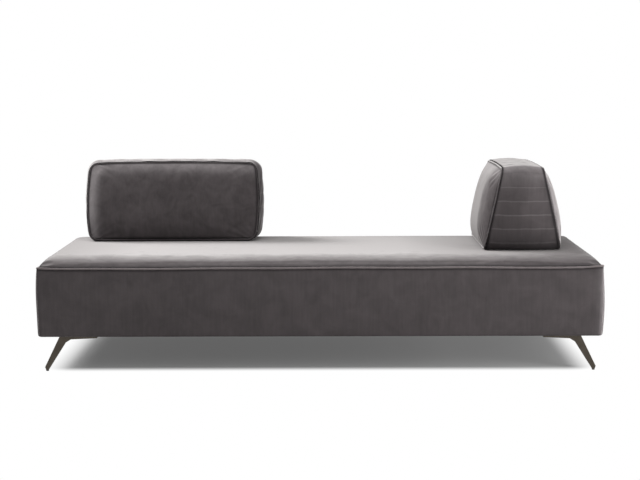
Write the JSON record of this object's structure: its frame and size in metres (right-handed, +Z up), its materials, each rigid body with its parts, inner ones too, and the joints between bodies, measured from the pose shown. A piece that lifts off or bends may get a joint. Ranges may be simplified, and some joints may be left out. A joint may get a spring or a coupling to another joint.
{
  "type": "daybed",
  "caption": "Low upholstered daybed on splayed metal legs, with a piped crowned seat and loose wedge backrests that slide along its edges.",
  "frame": {"origin": "on the floor, under the middle of the base", "axes": "+X along the bed to the right as seen from the front, -Y is the front, +Z is up"},
  "size_m": [2.25, 1.2, 0.8023],
  "materials": {
    "velvet": "matte",
    "piping": "matte",
    "foam": "matte",
    "plywood": "satin",
    "beech": "satin",
    "webbing": "matte",
    "dust_cloth": "matte",
    "bronze_lacquered_steel": "satin",
    "zinc_plated_steel": "satin",
    "nylon": "matte"
  },
  "bodies": {
    "base": {"front_rail": "plywood", "back_rail": "plywood", "left_end_rail": "plywood", "right_end_rail": "plywood", "cross_rail_left": "plywood", "cross_rail_centre": "plywood", "cross_rail_right": "plywood", "corner_post_front_left": "beech", "leg_block_front_left": "beech", "leg_front_left": "bronze_lacquered_steel", "corner_post_front_right": "beech", "leg_block_front_right": "beech", "leg_front_right": "bronze_lacquered_steel", "corner_post_back_left": "beech", "leg_block_back_left": "beech", "leg_back_left": "bronze_lacquered_steel", "corner_post_back_right": "beech", "leg_block_back_right": "beech", "leg_back_right": "bronze_lacquered_steel", "foot_glides": "nylon", "frame_screws": "zinc_plated_steel", "leg_bolts": "zinc_plated_steel", "tee_nuts": "zinc_plated_steel", "cross_webbing": "webbing", "long_webbing": "webbing", "seat_core_foam": "foam", "seat_topper_foam": "foam", "front_padding": "foam", "front_cover": "velvet", "right_padding": "foam", "right_cover": "velvet", "back_padding": "foam", "back_cover": "velvet", "left_padding": "foam", "left_cover": "velvet", "seat_top_cover": "velvet", "seat_welt": "piping", "dust_cover": "dust_cloth"},
    "left_backrest": {"left_backrest_core": "foam", "left_backrest_board": "plywood", "left_backrest_ballast": "zinc_plated_steel", "left_backrest_base_cloth": "dust_cloth", "left_backrest_band": "velvet", "left_backrest_front_pad": "foam", "left_backrest_front_cover": "velvet", "left_backrest_front_welt": "piping", "left_backrest_back_pad": "foam", "left_backrest_back_cover": "velvet", "left_backrest_back_welt": "piping"},
    "right_backrest": {"right_backrest_core": "foam", "right_backrest_board": "plywood", "right_backrest_ballast": "zinc_plated_steel", "right_backrest_base_cloth": "dust_cloth", "right_backrest_band": "velvet", "right_backrest_front_pad": "foam", "right_backrest_front_cover": "velvet", "right_backrest_front_welt": "piping", "right_backrest_back_pad": "foam", "right_backrest_back_cover": "velvet", "right_backrest_back_welt": "piping"}
  },
  "joints": [
    {"name": "left_backrest_slide", "type": "slide", "parent": "base", "child": "left_backrest", "axis": [1, 0, 0], "range_m": [-0.07, 0.88]},
    {"name": "right_backrest_slide", "type": "slide", "parent": "base", "child": "right_backrest", "axis": [0, 1, 0], "range_m": [-0.35, 0.045]}
  ]
}
